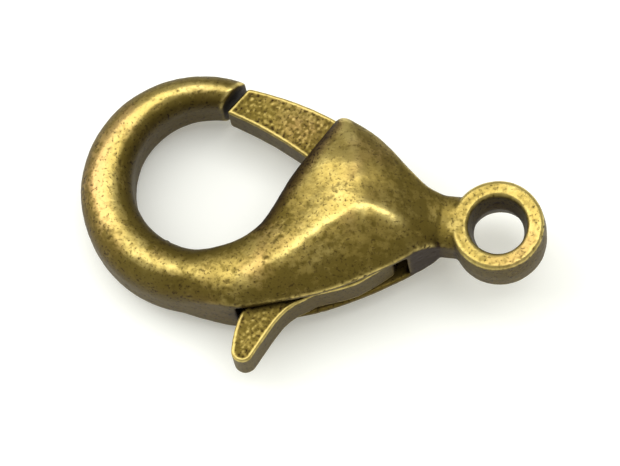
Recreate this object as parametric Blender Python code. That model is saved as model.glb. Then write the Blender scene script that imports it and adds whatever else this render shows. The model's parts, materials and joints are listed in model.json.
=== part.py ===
"""Lobster clasp, 12 mm long: a cast body with a hook and an eye, and a sprung lever.

The parts are modelled flat, in a frame whose origin is the centre of the hook's round
opening: X runs from the hook to the eye, Y to the gate side, Z through the thickness.
An empty then lays them down as the clasp rests by itself on a table.
"""
import math

import bmesh
import bpy
from mathutils import Vector
from mathutils.geometry import intersect_point_tri_2d

MM = 0.001

# Hook: the opening and the outer edge are two circles with offset centres.
OPENING_RADIUS = 1.91 * MM
HOOK_OUTER_RADIUS = 3.03 * MM
HOOK_OFFSET_X = -0.17 * MM
HOOK_OFFSET_Y = -0.255 * MM
HOOK_TIP_HEIGHT = 1.80 * MM
HOOK_ROOT_HEIGHT = 2.36 * MM
TIP_INNER_ANGLE = math.radians(88.5)
TIP_OUTER_ANGLE = math.radians(76.2)
HOOK_ROOT_ANGLE = math.radians(270.0)

# Body: two cheeks over the lever's slot, from the hook's root to the neck.
CHEEK_HEIGHT = 3.20 * MM
CHEEK_CORNER_X = 3.31 * MM
CHEEK_CORNER_Y = 1.97 * MM
CHEEK_LIP = 0.18 * MM
HEEL_X = 1.29 * MM
HEEL_Y = -3.34 * MM
NECK_X = 6.04 * MM
NECK_Y = -0.30 * MM
NECK_WIDTH = 1.40 * MM
NECK_HEIGHT = 1.38 * MM

# Eye: a ring with flat faces and rounded rims. Its walls are drafted both ways, so the ring
# is widest, and its hole narrowest, halfway through.
EYE_X = 7.48 * MM
EYE_Y = -0.29 * MM
EYE_HOLE_RADIUS = 0.75 * MM
EYE_OUTER_RADIUS = 1.18 * MM
EYE_HEIGHT = 1.42 * MM
EYE_RIM_RADIUS = 0.09 * MM
EYE_BULGE = 0.03 * MM
EYE_WAIST = 0.12 * MM

# Lever: gate, pivot boss and thumb in one flat casting.
LEVER_THICKNESS = 1.10 * MM
LEVER_EDGE = 0.06 * MM
PIVOT_X = 3.22 * MM
PIVOT_Y = -0.45 * MM
TIP_GAP = 0.16 * MM
GATE_TIP_WIDTH = 0.84 * MM
GATE_ROOT_WIDTH = 1.27 * MM
GATE_INNER_BOW = 0.09 * MM
GATE_OUTER_BOW = 0.11 * MM
BACK_REACH = 2.16 * MM
THUMB_REACH = 1.31 * MM
THUMB_TIP_RADIUS = 0.29 * MM
THUMB_ROOT_AT = 2.85
THUMB_ROOT_PULL = 0.75
THUMB_TIP_TURN = math.radians(15.0)
THUMB_BACK_LEAN = math.radians(65.0)

# Rivet pin and strip spring, both inside the slot.
PIN_RADIUS = 0.45 * MM
PIN_LENGTH = 2.40 * MM
SPRING_THICKNESS = 0.14 * MM
SPRING_WIDTH = 0.60 * MM
SPRING_CURL_RADIUS = 0.10 * MM
SPRING_START_ANGLE = math.radians(246.0)
SPRING_LEAVES_ANGLE = math.radians(296.0)
SPRING_CURL = math.radians(240.0)
SPRING_SAG = 0.06 * MM
LEAF_END_AT = 0.30

# Running clearances.
FACE_CLEARANCE = 0.10 * MM
EDGE_CLEARANCE = 0.12 * MM
PIN_CLEARANCE = 0.06 * MM

# How finely the curves are divided.
HOOK_STEPS = 36
STEPS_PER_SECTION = 4
QUARTER_STEPS = 9
ROUND_STEPS = 32
EYE_STEPS = 40
RIM_STEPS = 3
GATE_STEPS = 6
THUMB_STEPS = 8
SPRING_STEPS = 10

PIVOT = Vector((PIVOT_X, PIVOT_Y))
SLOT_HALF = LEVER_THICKNESS / 2 + FACE_CLEARANCE

# Gate side of the cheeks, corner to neck: along the straight line between them, and
# out from it, both as shares of that line's length.
GATE_SIDE = (
    # along, out
    (0.24, 0.026),
    (0.44, 0.010),
    (0.64, -0.025),
    (0.85, -0.045),
)

# Thumb side of the cheeks, heel to neck, in the same way.
THUMB_SIDE = (
    # along, out
    (0.20, 0.036),
    (0.40, 0.060),
    (0.60, 0.054),
    (0.78, 0.034),
    (0.90, 0.012),
)

# Upright sections of the body, each from its inner edge to its outer edge.
# inner_at: 0 hook root, 1 where the opening turns straight, 2 cheek corner, 7 neck.
# outer_at: 0 hook root, 1 heel, 7 neck. rise: share of the way from the hook's or the
# neck's height to the cheeks' height. lip: 1 where the edge stands a lip over the slot.
# crest: where the ridge lies, inner edge to outer edge. inner_full and outer_full: how
# full the slopes on either side of the ridge are; 2 is round and 1 is straight.
SECTIONS = (
    # inner_at, outer_at, rise, lip, crest, inner_full, outer_full
    (0.00, 0.00, 0.00, 0.0, 0.50, 2.0, 2.0),
    (0.40, 0.80, 0.16, 1.0, 0.51, 2.0, 1.90),
    (0.72, 1.80, 0.36, 1.0, 0.53, 1.8, 1.50),
    (1.00, 2.65, 0.60, 1.0, 0.54, 1.6, 1.30),
    (1.30, 3.30, 0.82, 1.0, 0.54, 1.55, 1.20),
    (1.60, 3.80, 0.95, 1.0, 0.56, 1.65, 1.20),
    (1.87, 4.25, 1.00, 1.0, 0.59, 1.8, 1.20),
    (2.00, 4.60, 0.98, 1.0, 0.62, 1.85, 1.20),
    (3.00, 5.00, 0.88, 1.0, 0.66, 1.9, 1.25),
    (4.00, 5.50, 0.70, 1.0, 0.69, 1.85, 1.35),
    (5.00, 6.00, 0.46, 1.0, 0.67, 1.8, 1.60),
    (6.00, 6.60, 0.18, 0.6, 0.58, 2.1, 2.10),
    (7.00, 7.00, 0.00, 0.0, 0.50, 2.6, 2.6),
)
HIGHEST_SECTION = 6
NECK_WALL = 0.45
CORNER_AT = 2.0
CORNER_ROUNDING = 0.09

# The slot: how far along the opening's edge its mouth starts, and the way round its end.
SLOT_MOUTH_AT = 0.45
SLOT_END_FROM = math.radians(45.0)
SLOT_END_SWEEP = math.radians(68.0)
SLOT_OVERRUN = 0.40 * MM
HEEL_WALL = 0.43 * MM

# The spring's groove: how far along the opening's edge it ends.
GROOVE_END_AT = 0.6

# The hook's sides stand upright to these shares of its half height, and its section is
# skewed over this angle behind the slanted tip.
HOOK_INNER_WALL = 0.42
HOOK_OUTER_WALL = 0.28
TIP_SKEW_FADE = math.radians(55.0)

# Where on the body's thumb-side edge the lever's own edge under it ends, how deep in the
# slot it lies there, and the step in which that edge's direction is read.
BELLY_END_AT = 5.00
BELLY_INSET = 0.32 * MM
EDGE_READ_STEP = 0.05

# Lever's edge inside the slot, seen from the pivot: from the gate's root to the back's
# tip, and from the thumb's root up to the heel that the spring bears on.
BACK_EDGE = (
    # angle, distance as a share of BACK_REACH
    (math.radians(74.0), 0.86),
    (math.radians(48.0), 0.62),
    (math.radians(14.0), 0.60),
    (math.radians(-12.0), 0.76),
)
FRONT_EDGE = (
    # angle, distance as a share of BACK_REACH
    (math.radians(239.5), 1.27),
    (math.radians(241.0), 1.03),
    (math.radians(238.0), 0.77),
    (math.radians(228.0), 0.59),
    (math.radians(199.0), 0.55),
)


def flat(x, y):
    """A point of the plan."""
    return Vector((x, y))


def polar(centre, radius, angle):
    """The point at a radius and angle from a centre of the plan."""
    return centre + flat(math.cos(angle), math.sin(angle)) * radius


def curve_at(points, at):
    """A smooth curve through points, read at a fractional point number."""
    last = len(points) - 1
    start = min(int(at), last - 1)
    share = at - start
    before = points[max(start - 1, 0)]
    first = points[start]
    second = points[start + 1]
    after = points[min(start + 2, last)]
    return (first * 2
            + (second - before) * share
            + (before * 2 - first * 5 + second * 4 - after) * share ** 2
            + (first * 3 - before - second * 3 + after) * share ** 3) * 0.5


def curve_through(points, steps):
    """The whole smooth curve through points, with its two end points."""
    last = len(points) - 1
    return [curve_at(points, last * step / (last * steps)) for step in range(last * steps + 1)]


def bowed(start, end, bow, steps):
    """Points from start to end on a shallow arc that bows to the left of the way."""
    way = end - start
    left = flat(-way.y, way.x).normalized()
    points = []
    for step in range(steps + 1):
        share = step / steps
        points.append(start + way * share + left * bow * 4 * share * (1 - share))
    return points


def beside_line(start, end, rows):
    """Points beside a line: each row is (share along it, share of its length out)."""
    way = end - start
    left = flat(-way.y, way.x)
    return [start + way * along + left * out for along, out in rows]


def hook_outer(angle):
    """A point of the hook's outer edge."""
    return polar(flat(HOOK_OFFSET_X, HOOK_OFFSET_Y), HOOK_OUTER_RADIUS, angle)


def hook_inner(angle):
    """A point of the hook's inner edge."""
    return polar(flat(0, 0), OPENING_RADIUS, angle)


CORNER = flat(CHEEK_CORNER_X, CHEEK_CORNER_Y)
NECK_GATE_SIDE = flat(NECK_X, NECK_Y + NECK_WIDTH / 2)
NECK_THUMB_SIDE = flat(NECK_X, NECK_Y - NECK_WIDTH / 2)
HEEL = flat(HEEL_X, HEEL_Y)
STRAIGHT_ANGLE = (math.atan2(CORNER.y, CORNER.x) - math.acos(OPENING_RADIUS / CORNER.length)
                  + math.tau)
STRAIGHT_START = hook_inner(STRAIGHT_ANGLE)


def mirrored_out(rows):
    """The same rows with their outward shares turned to the right of the line."""
    return [(along, -out) for along, out in rows]


def sharp_inner_edge(at):
    """The body's inner and gate-side edge, with a sharp cheek corner."""
    if at <= 1:
        return hook_inner(HOOK_ROOT_ANGLE + (STRAIGHT_ANGLE - HOOK_ROOT_ANGLE) * at)
    if at <= CORNER_AT:
        return STRAIGHT_START.lerp(CORNER, at - 1)
    points = [CORNER, *beside_line(CORNER, NECK_GATE_SIDE, GATE_SIDE), NECK_GATE_SIDE]
    return curve_at(points, at - CORNER_AT)


def inner_edge(at):
    """The same edge with the cheek corner rounded; see SECTIONS for what at counts."""
    if abs(at - CORNER_AT) >= CORNER_ROUNDING:
        return sharp_inner_edge(at)
    before = sharp_inner_edge(CORNER_AT - CORNER_ROUNDING)
    after = sharp_inner_edge(CORNER_AT + CORNER_ROUNDING)
    share = (at - CORNER_AT + CORNER_ROUNDING) / (2 * CORNER_ROUNDING)
    return before.lerp(CORNER, share).lerp(CORNER.lerp(after, share), share)


def outer_edge(at):
    """The body's thumb-side edge; see SECTIONS for what at counts."""
    belly = beside_line(HEEL, NECK_THUMB_SIDE, mirrored_out(THUMB_SIDE))
    return curve_at([hook_outer(HOOK_ROOT_ANGLE), HEEL, *belly, NECK_THUMB_SIDE], at)


def section(inner, outer, half, rims, crest, fullness):
    """One closed upright section: two straight sides and two slopes that meet in a ridge."""
    upper = []
    for step in range(QUARTER_STEPS + 1):
        angle = math.pi / 2 * step / QUARTER_STEPS
        power = 2 / fullness[0]
        across = crest * (1 - math.cos(angle) ** power)
        upper.append((across, rims[0] + (half - rims[0]) * math.sin(angle) ** power))
    for step in reversed(range(QUARTER_STEPS)):
        angle = math.pi / 2 * step / QUARTER_STEPS
        power = 2 / fullness[1]
        across = 1 - (1 - crest) * (1 - math.cos(angle) ** power)
        upper.append((across, rims[1] + (half - rims[1]) * math.sin(angle) ** power))
    rings = []
    for side, row in ((1, upper), (-1, list(reversed(upper)))):
        for across, rise in row:
            place = inner.lerp(outer, across)
            rings.append(Vector((place.x, place.y, side * rise)))
    return rings


def hook_sections():
    """Sections round the hook, from its slanted tip to its root."""
    rings = []
    for step in range(HOOK_STEPS):
        share = step / HOOK_STEPS
        angle = TIP_INNER_ANGLE + (HOOK_ROOT_ANGLE - TIP_INNER_ANGLE) * share
        skew = max(0.0, 1 - (angle - TIP_INNER_ANGLE) / TIP_SKEW_FADE) ** 2
        outer = hook_outer(angle - (TIP_INNER_ANGLE - TIP_OUTER_ANGLE) * skew)
        half = (HOOK_TIP_HEIGHT + (HOOK_ROOT_HEIGHT - HOOK_TIP_HEIGHT) * share) / 2
        rims = (half * HOOK_INNER_WALL, half * HOOK_OUTER_WALL)
        rings.append(section(hook_inner(angle), outer, half, rims, SECTIONS[0][4], SECTIONS[0][5:]))
    return rings


def body_sections():
    """Sections from the hook's root through the cheeks to the neck and into the eye."""
    rows = [Vector(row) for row in SECTIONS]
    rings = []
    last = (len(rows) - 1) * STEPS_PER_SECTION
    for step in range(last + 1):
        at = step / STEPS_PER_SECTION
        inner_at, outer_at, rise, lip, crest, *fullness = curve_at(rows, at)
        low = HOOK_ROOT_HEIGHT if at < HIGHEST_SECTION else NECK_HEIGHT
        half = (low + (CHEEK_HEIGHT - low) * rise) / 2
        edge = SLOT_HALF + CHEEK_LIP
        lip = min(max(lip, 0.0), 1.0)
        inner_wall = HOOK_INNER_WALL if at < HIGHEST_SECTION else NECK_WALL
        outer_wall = HOOK_OUTER_WALL if at < HIGHEST_SECTION else NECK_WALL
        rims = (half * inner_wall * (1 - lip) + edge * lip, half * outer_wall * (1 - lip) + edge * lip)
        rings.append(section(inner_edge(inner_at), outer_edge(outer_at), half, rims, crest, fullness))
    end_x = EYE_X - (EYE_HOLE_RADIUS + EYE_OUTER_RADIUS) / 2
    neck = NECK_HEIGHT / 2
    rings.append(section(flat(end_x, EYE_Y + NECK_WIDTH / 2), flat(end_x, EYE_Y - NECK_WIDTH / 2),
                         neck, (neck * NECK_WALL, neck * NECK_WALL), crest, fullness))
    return rings


def material(name, colour, roughness):
    """A metal finish."""
    made = bpy.data.materials.new(name)
    made.use_nodes = True
    shader = made.node_tree.nodes["Principled BSDF"]
    shader.inputs["Base Color"].default_value = (*colour, 1.0)
    shader.inputs["Roughness"].default_value = roughness
    shader.inputs["Metallic"].default_value = 1.0
    return made


def add_object(name, mesh_edit, finish, parent, origin=None):
    """Turns an edited mesh into an object whose origin is at a point of the plan."""
    bmesh.ops.recalc_face_normals(mesh_edit, faces=mesh_edit.faces)
    origin = origin or flat(0, 0)
    bmesh.ops.translate(mesh_edit, verts=mesh_edit.verts, vec=(-origin.x, -origin.y, 0))
    mesh = bpy.data.meshes.new(name)
    mesh_edit.to_mesh(mesh)
    mesh_edit.free()
    mesh.shade_smooth()
    mesh.set_sharp_from_angle(angle=math.radians(35))
    made = bpy.data.objects.new(name, mesh)
    if finish:
        mesh.materials.append(finish)
    bpy.context.scene.collection.objects.link(made)
    made.parent = parent
    made.location = (origin.x, origin.y, 0)
    return made


def lofted(rings):
    """A closed solid through rings of equal length."""
    edit = bmesh.new()
    loops = [[edit.verts.new(place) for place in ring] for ring in rings]
    for first, second in zip(loops, loops[1:]):
        for index in range(len(first)):
            after = (index + 1) % len(first)
            edit.faces.new((first[index], first[after], second[after], second[index]))
    edit.faces.new(loops[0])
    edit.faces.new(loops[-1])
    return edit


def slab(outline, half):
    """A closed plate: an outline of the plan, half its height above and below."""
    upper = [Vector((place.x, place.y, half)) for place in outline]
    lower = [Vector((place.x, place.y, -half)) for place in outline]
    return lofted([lower, upper])


def eye_ring():
    """The eye, about Z at the origin."""
    rim = EYE_RIM_RADIUS
    outer = EYE_OUTER_RADIUS - rim
    inner = EYE_HOLE_RADIUS + rim
    level = EYE_HEIGHT / 2 - rim
    corners = (
        (outer, level, 0.0),
        (inner, level, math.pi / 2),
        (inner, -level, math.pi),
        (outer, -level, math.pi * 1.5),
    )
    profile = []
    for radius, height, start in corners:
        if start == math.pi:
            profile.append(flat(EYE_HOLE_RADIUS - EYE_WAIST, 0))
        for step in range(RIM_STEPS + 1):
            place = polar(flat(radius, height), rim, start + math.pi / 2 * step / RIM_STEPS)
            profile.append(place)
    profile.append(flat(EYE_OUTER_RADIUS + EYE_BULGE, 0))
    edit = bmesh.new()
    loops = []
    for step in range(EYE_STEPS):
        angle = math.tau * step / EYE_STEPS
        loops.append([edit.verts.new((place.x * math.cos(angle), place.x * math.sin(angle), place.y))
                      for place in profile])
    for first, second in zip(loops, loops[1:] + loops[:1]):
        for index in range(len(first)):
            after = (index + 1) % len(first)
            edit.faces.new((first[index], first[after], second[after], second[index]))
    return edit


def round_outline(centre, radius):
    """A circle of the plan."""
    return [polar(centre, radius, math.tau * step / ROUND_STEPS) for step in range(ROUND_STEPS)]


def add_cutter(name, outline, half, parent):
    """A plate that is only used to cut."""
    made = add_object(name, slab(outline, half), None, parent)
    made.hide_render = True
    made.display_type = "WIRE"
    return made


def boolean(target, tool, operation):
    """Cuts or joins one object with another."""
    step = target.modifiers.new(tool.name, "BOOLEAN")
    step.operation = operation
    step.solver = "EXACT"
    step.object = tool


def slot_outline():
    """The lever's slot: open on the gate side, inside the hook and on the thumb side."""
    beyond = OPENING_RADIUS / 2
    along = (CORNER - STRAIGHT_START).normalized()
    into_opening = flat(-along.y, along.x)
    end_radius = BACK_REACH + EDGE_CLEARANCE
    end_steps = ROUND_STEPS // 4
    end = [polar(PIVOT, end_radius, SLOT_END_FROM - SLOT_END_SWEEP * step / end_steps)
           for step in range(end_steps + 1)]
    mouth = hook_inner(HOOK_ROOT_ANGLE + (STRAIGHT_ANGLE - HOOK_ROOT_ANGLE) * SLOT_MOUTH_AT)
    return [
        flat(HEEL_X, HEEL_Y - beyond),
        flat(HEEL_X, HEEL_Y + HEEL_WALL),
        mouth - mouth.normalized() * SLOT_OVERRUN,
        STRAIGHT_START + into_opening * SLOT_OVERRUN,
        CORNER + into_opening * SLOT_OVERRUN + along * beyond,
        CORNER + flat(beyond, beyond),
        *end,
        flat(end[-1].x, HEEL_Y - beyond),
    ]


def spring_radius():
    """Radius of the spring's middle line where it lies in its groove."""
    return OPENING_RADIUS + EDGE_CLEARANCE + SPRING_THICKNESS / 2


def groove_outline():
    """The groove on the hook's inner side that the spring lies in."""
    floor = spring_radius() + SPRING_THICKNESS / 2 + EDGE_CLEARANCE
    front = SPRING_START_ANGLE - (SPRING_CURL_RADIUS + EDGE_CLEARANCE) / OPENING_RADIUS
    back = HOOK_ROOT_ANGLE + (STRAIGHT_ANGLE - HOOK_ROOT_ANGLE) * GROOVE_END_AT
    steps = ROUND_STEPS // 4
    angles = [front + (back - front) * step / steps for step in range(steps + 1)]
    outer = [polar(flat(0, 0), floor, angle) for angle in angles]
    inner = [polar(flat(0, 0), OPENING_RADIUS - SLOT_OVERRUN, angle) for angle in reversed(angles)]
    return outer + inner


def build_body(finish, parent):
    """Hook, cheeks, neck and eye in one casting."""
    body = add_object("body", lofted(hook_sections() + body_sections()), finish, parent)
    ring = eye_ring()
    bmesh.ops.translate(ring, verts=ring.verts, vec=(EYE_X, EYE_Y, 0))
    eye = add_object("eye_ring_tool", ring, finish, parent)
    eye.hide_render = True
    eye.display_type = "WIRE"
    boolean(body, eye, "UNION")
    boolean(body, add_cutter("slot_cutter", slot_outline(), SLOT_HALF, parent), "DIFFERENCE")
    bore = round_outline(PIVOT, PIN_RADIUS + PIN_CLEARANCE)
    boolean(body, add_cutter("rivet_bore_cutter", bore, PIN_LENGTH / 2 + PIN_CLEARANCE, parent),
            "DIFFERENCE")
    groove_half = SPRING_WIDTH / 2 + FACE_CLEARANCE
    boolean(body, add_cutter("spring_groove_cutter", groove_outline(), groove_half, parent),
            "DIFFERENCE")
    return body


def gate_outline():
    """The gate: its end follows the hook's slanted tip, and its root fills the cheeks' mouth."""
    tip = hook_inner(TIP_INNER_ANGLE)
    slant = (hook_outer(TIP_OUTER_ANGLE) - tip).normalized()
    inner_tip = tip + flat(slant.y, -slant.x) * TIP_GAP
    outer_tip = inner_tip + slant * GATE_TIP_WIDTH
    along = (CORNER - STRAIGHT_START).normalized()
    outer_root = CORNER - along * EDGE_CLEARANCE
    inner_root = outer_root - along * GATE_ROOT_WIDTH
    inner = bowed(inner_root, inner_tip, -GATE_INNER_BOW, GATE_STEPS)
    outer = bowed(outer_tip, outer_root, GATE_OUTER_BOW, GATE_STEPS)
    return inner, outer


def thumb_outline():
    """The thumb: a curved spur from the cheeks' thumb side to a round tip."""
    start = outer_edge(THUMB_ROOT_AT)
    way = (outer_edge(THUMB_ROOT_AT - EDGE_READ_STEP) - start).normalized()
    tip = flat(HEEL_X + EDGE_CLEARANCE / 4 + THUMB_TIP_RADIUS,
               HEEL_Y - THUMB_REACH + THUMB_TIP_RADIUS)
    right = polar(tip, THUMB_TIP_RADIUS, -THUMB_TIP_TURN)
    pull = (start - right).length / 2
    first = start + way * pull * THUMB_ROOT_PULL
    second = polar(right, pull, THUMB_BACK_LEAN)
    back = []
    for step in range(1, THUMB_STEPS):
        share = step / THUMB_STEPS
        back.append(start * (1 - share) ** 3 + first * 3 * share * (1 - share) ** 2
                    + second * 3 * share ** 2 * (1 - share) + right * share ** 3)
    turn = math.pi - THUMB_TIP_TURN
    end = [polar(tip, THUMB_TIP_RADIUS, -THUMB_TIP_TURN - turn * step / THUMB_STEPS)
           for step in range(THUMB_STEPS + 1)]
    root = flat(HEEL_X + EDGE_CLEARANCE, HEEL_Y)
    front = bowed(end[-1], root, EDGE_CLEARANCE / 3, 4)
    return back + end + front[1:]


def lever_outline():
    """The lever's whole edge, clockwise from the gate's inner root."""
    inner, outer = gate_outline()
    back = [polar(PIVOT, BACK_REACH * share, angle) for angle, share in BACK_EDGE]
    belly = []
    for step in range(THUMB_STEPS + 1):
        share = step / THUMB_STEPS
        at = BELLY_END_AT - (BELLY_END_AT - THUMB_ROOT_AT) * share
        inset = BELLY_INSET * (1 - share) + EDGE_CLEARANCE / 2 * share
        way = outer_edge(at - EDGE_READ_STEP) - outer_edge(at)
        belly.append(outer_edge(at) + flat(way.y, -way.x).normalized() * inset)
    thumb = thumb_outline()
    front = [polar(PIVOT, BACK_REACH * share, angle) for angle, share in FRONT_EDGE]
    along = (CORNER - STRAIGHT_START).normalized()
    behind = flat(along.y, -along.x) * EDGE_CLEARANCE
    flank = STRAIGHT_START.lerp(inner[0], 0.5) + behind
    inside = curve_through([outer[-1], *back, belly[0]], 4)
    heel = curve_through([thumb[-1], *front], 3)
    return inner + outer[:-1] + inside[:-1] + belly[:-1] + [belly[-1]] + thumb + heel[1:] + [flank]


def build_lever(finish, parent):
    """Gate, pivot boss and thumb; its origin is on the pivot's axis."""
    lever = add_object("lever", slab(lever_outline(), LEVER_THICKNESS / 2), finish, parent, PIVOT)
    edges = lever.modifiers.new("worn_edges", "BEVEL")
    edges.width = LEVER_EDGE
    edges.segments = 2
    edges.limit_method = "ANGLE"
    edges.angle_limit = math.radians(40)
    bore = round_outline(PIVOT, PIN_RADIUS + PIN_CLEARANCE)
    boolean(lever, add_cutter("lever_bore_cutter", bore, CHEEK_HEIGHT / 2, parent), "DIFFERENCE")
    return lever


def build_pin(finish, parent):
    """The rivet that the lever turns on, seated in a blind bore of each cheek."""
    outline = round_outline(PIVOT, PIN_RADIUS)
    return add_object("pivot_pin", slab(outline, PIN_LENGTH / 2), finish, parent, PIVOT)


def spring_line():
    """The spring's middle line: a curled end, a stretch in the groove, and the free leaf."""
    radius = spring_radius()
    start = polar(flat(0, 0), radius, SPRING_START_ANGLE)
    centre = polar(flat(0, 0), radius - SPRING_CURL_RADIUS, SPRING_START_ANGLE)
    curl = [polar(centre, SPRING_CURL_RADIUS,
                  SPRING_START_ANGLE - SPRING_CURL * (1 - step / SPRING_STEPS))
            for step in range(SPRING_STEPS)]
    sweep = SPRING_LEAVES_ANGLE - SPRING_START_ANGLE
    lie = [polar(flat(0, 0), radius, SPRING_START_ANGLE + sweep * step / SPRING_STEPS)
           for step in range(1, SPRING_STEPS + 1)]
    heel_angle, heel_share = FRONT_EDGE[-1]
    heel = polar(PIVOT, BACK_REACH * heel_share, heel_angle)
    under = polar(PIVOT, BACK_REACH * FRONT_EDGE[-2][1], FRONT_EDGE[-2][0])
    away = (heel - PIVOT).normalized() * (EDGE_CLEARANCE + SPRING_THICKNESS / 2)
    rest = heel.lerp(under, LEAF_END_AT) + away
    middle = lie[-1].lerp(rest, 0.5) - flat(0, SPRING_SAG)
    leaf = curve_through([lie[-2], lie[-1], middle, rest], STEPS_PER_SECTION)
    return curl + [start] + lie[:-2] + leaf


def build_spring(finish, parent):
    """A bent strip that pushes the lever's heel up and so keeps the gate shut."""
    line = spring_line()
    left = []
    right = []
    for index, place in enumerate(line):
        way = (line[min(index + 1, len(line) - 1)] - line[max(index - 1, 0)]).normalized()
        side = flat(-way.y, way.x) * SPRING_THICKNESS / 2
        left.append(place + side)
        right.append(place - side)
    edit = bmesh.new()
    rings = []
    for first, second in zip(left, right):
        rings.append([edit.verts.new((first.x, first.y, SPRING_WIDTH / 2)),
                      edit.verts.new((second.x, second.y, SPRING_WIDTH / 2)),
                      edit.verts.new((second.x, second.y, -SPRING_WIDTH / 2)),
                      edit.verts.new((first.x, first.y, -SPRING_WIDTH / 2))])
    for first, second in zip(rings, rings[1:]):
        for index in range(4):
            after = (index + 1) % 4
            edit.faces.new((first[index], first[after], second[after], second[index]))
    edit.faces.new(rings[0])
    edit.faces.new(rings[-1])
    return add_object("spring", edit, finish, parent)


def world_points(pieces):
    """All corners of the finished pieces, and their common centre of mass."""
    graph = bpy.context.evaluated_depsgraph_get()
    graph.update()
    points = []
    moment = Vector()
    volume = 0.0
    for piece in pieces:
        finished = piece.evaluated_get(graph)
        mesh = finished.to_mesh()
        places = [finished.matrix_world @ vertex.co for vertex in mesh.vertices]
        mesh.calc_loop_triangles()
        for triangle in mesh.loop_triangles:
            first, second, third = (places[index] for index in triangle.vertices)
            share = first.dot(second.cross(third)) / 6
            volume += share
            moment += (first + second + third) / 4 * share
        points.extend(places)
        finished.to_mesh_clear()
    return points, moment / volume


def resting_normal(points, centre):
    """The downward face of the hull that the clasp stands on when it lies on its cheek."""
    hull = bmesh.new()
    for place in points:
        hull.verts.new(place)
    bmesh.ops.convex_hull(hull, input=hull.verts)
    bmesh.ops.triangulate(hull, faces=hull.faces)
    best = Vector((0, 0, -1))
    steepest = 0.0
    for face in hull.faces:
        if face.normal.z > -0.5 or face.calc_area() == 0:
            continue
        foot = centre - face.normal * (centre - face.verts[0].co).dot(face.normal)
        corners = [vertex.co.xy for vertex in face.verts]
        if intersect_point_tri_2d(foot.xy, *corners) and face.normal.z < steepest:
            steepest = face.normal.z
            best = face.normal.copy()
    hull.free()
    return best


def lay_down(parent, pieces):
    """Turns the clasp onto the face it rests on, and puts the middle of its foot at the origin."""
    points, centre = world_points(pieces)
    parent.rotation_mode = "QUATERNION"
    parent.rotation_quaternion = resting_normal(points, centre).rotation_difference(
        Vector((0, 0, -1)))
    bpy.context.view_layer.update()
    points = world_points(pieces)[0]
    low = Vector([min(place[axis] for place in points) for axis in range(3)])
    high = Vector([max(place[axis] for place in points) for axis in range(3)])
    parent.location = -Vector(((low.x + high.x) / 2, (low.y + high.y) / 2, low.z))


def main():
    for old in list(bpy.data.objects):
        bpy.data.objects.remove(old)
    casting = material("antique brass plated zinc", (0.23, 0.16, 0.06), 0.34)
    lever_casting = material("antique brass plated zinc, pitted", (0.27, 0.20, 0.09), 0.42)
    steel = material("spring steel", (0.30, 0.28, 0.25), 0.35)
    rest = bpy.data.objects.new("rest", None)
    bpy.context.scene.collection.objects.link(rest)
    pieces = [
        build_body(casting, rest),
        build_lever(lever_casting, rest),
        build_pin(steel, rest),
        build_spring(steel, rest),
    ]
    bpy.context.view_layer.update()
    lay_down(rest, pieces)
    bpy.context.view_layer.update()


main()
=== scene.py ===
# %% [markdown]
# # A lobster clasp in antique brass
# A lobster clasp is a small die casting: a hook, two cheeks and an eye in one piece,
# with a sprung lever between the cheeks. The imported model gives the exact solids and
# the hinge. This lesson gives them the skin of a tumbled, plated and darkened casting.
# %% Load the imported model
import json
import math

import bpy
import numpy as np
from mathutils import Matrix, Vector, noise
from mathutils.bvhtree import BVHTree
from mathutils.kdtree import KDTree


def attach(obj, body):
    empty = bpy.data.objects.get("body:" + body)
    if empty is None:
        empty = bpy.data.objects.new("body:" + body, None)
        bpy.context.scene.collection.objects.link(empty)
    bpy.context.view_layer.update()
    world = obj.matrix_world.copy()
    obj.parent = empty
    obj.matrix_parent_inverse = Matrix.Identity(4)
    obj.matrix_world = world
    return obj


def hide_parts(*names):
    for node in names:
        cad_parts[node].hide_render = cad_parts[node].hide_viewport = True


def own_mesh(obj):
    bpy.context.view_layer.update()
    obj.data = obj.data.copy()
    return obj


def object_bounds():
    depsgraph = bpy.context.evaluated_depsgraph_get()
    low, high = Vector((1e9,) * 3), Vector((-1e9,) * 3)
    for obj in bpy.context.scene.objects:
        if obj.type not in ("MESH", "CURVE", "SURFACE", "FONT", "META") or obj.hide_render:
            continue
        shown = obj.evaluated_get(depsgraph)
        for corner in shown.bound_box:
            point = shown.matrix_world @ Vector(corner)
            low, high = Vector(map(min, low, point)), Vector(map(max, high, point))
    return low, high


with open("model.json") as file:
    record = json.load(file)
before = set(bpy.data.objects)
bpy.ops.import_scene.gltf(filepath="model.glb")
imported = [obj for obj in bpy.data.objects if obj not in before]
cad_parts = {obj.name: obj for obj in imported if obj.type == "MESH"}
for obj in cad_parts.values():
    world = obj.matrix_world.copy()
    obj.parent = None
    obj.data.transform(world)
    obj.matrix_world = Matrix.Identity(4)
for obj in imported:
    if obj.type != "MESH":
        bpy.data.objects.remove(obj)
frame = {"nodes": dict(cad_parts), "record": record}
cad_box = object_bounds()

# %% [markdown]
# ## The clasp's own directions
# The clasp lies a little tilted, as it rests by itself on its cheek and hook. Its finish
# follows the casting and not the table, so the clasp's own axes are worked out first:
# up along the hinge, and along from the hook to the eye. The hinge is in the record.
# Later places are millimetres along, across and up from the middle of the hook's opening.
# %% The clasp's own directions
MM = 0.001
PIVOT_FROM_OPENING = Vector((3.22, -0.45, 0.0))
hinge = frame["record"]["behaviour"]["joints"][0]
PIVOT = Vector(hinge["pos_m"])
UP = Vector(hinge["axis"]).normalized()
ALONG = (Vector((1, 0, 0)) - UP * UP.x).normalized()
ACROSS = UP.cross(ALONG)
OPENING = PIVOT - (ALONG * PIVOT_FROM_OPENING.x + ACROSS * PIVOT_FROM_OPENING.y) * MM
TO_CLASP = Matrix((ALONG, ACROSS, UP)).to_4x4() @ Matrix.Translation(-OPENING)
print("the middle of the hook's opening, mm", [round(part / MM, 3) for part in OPENING])

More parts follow.
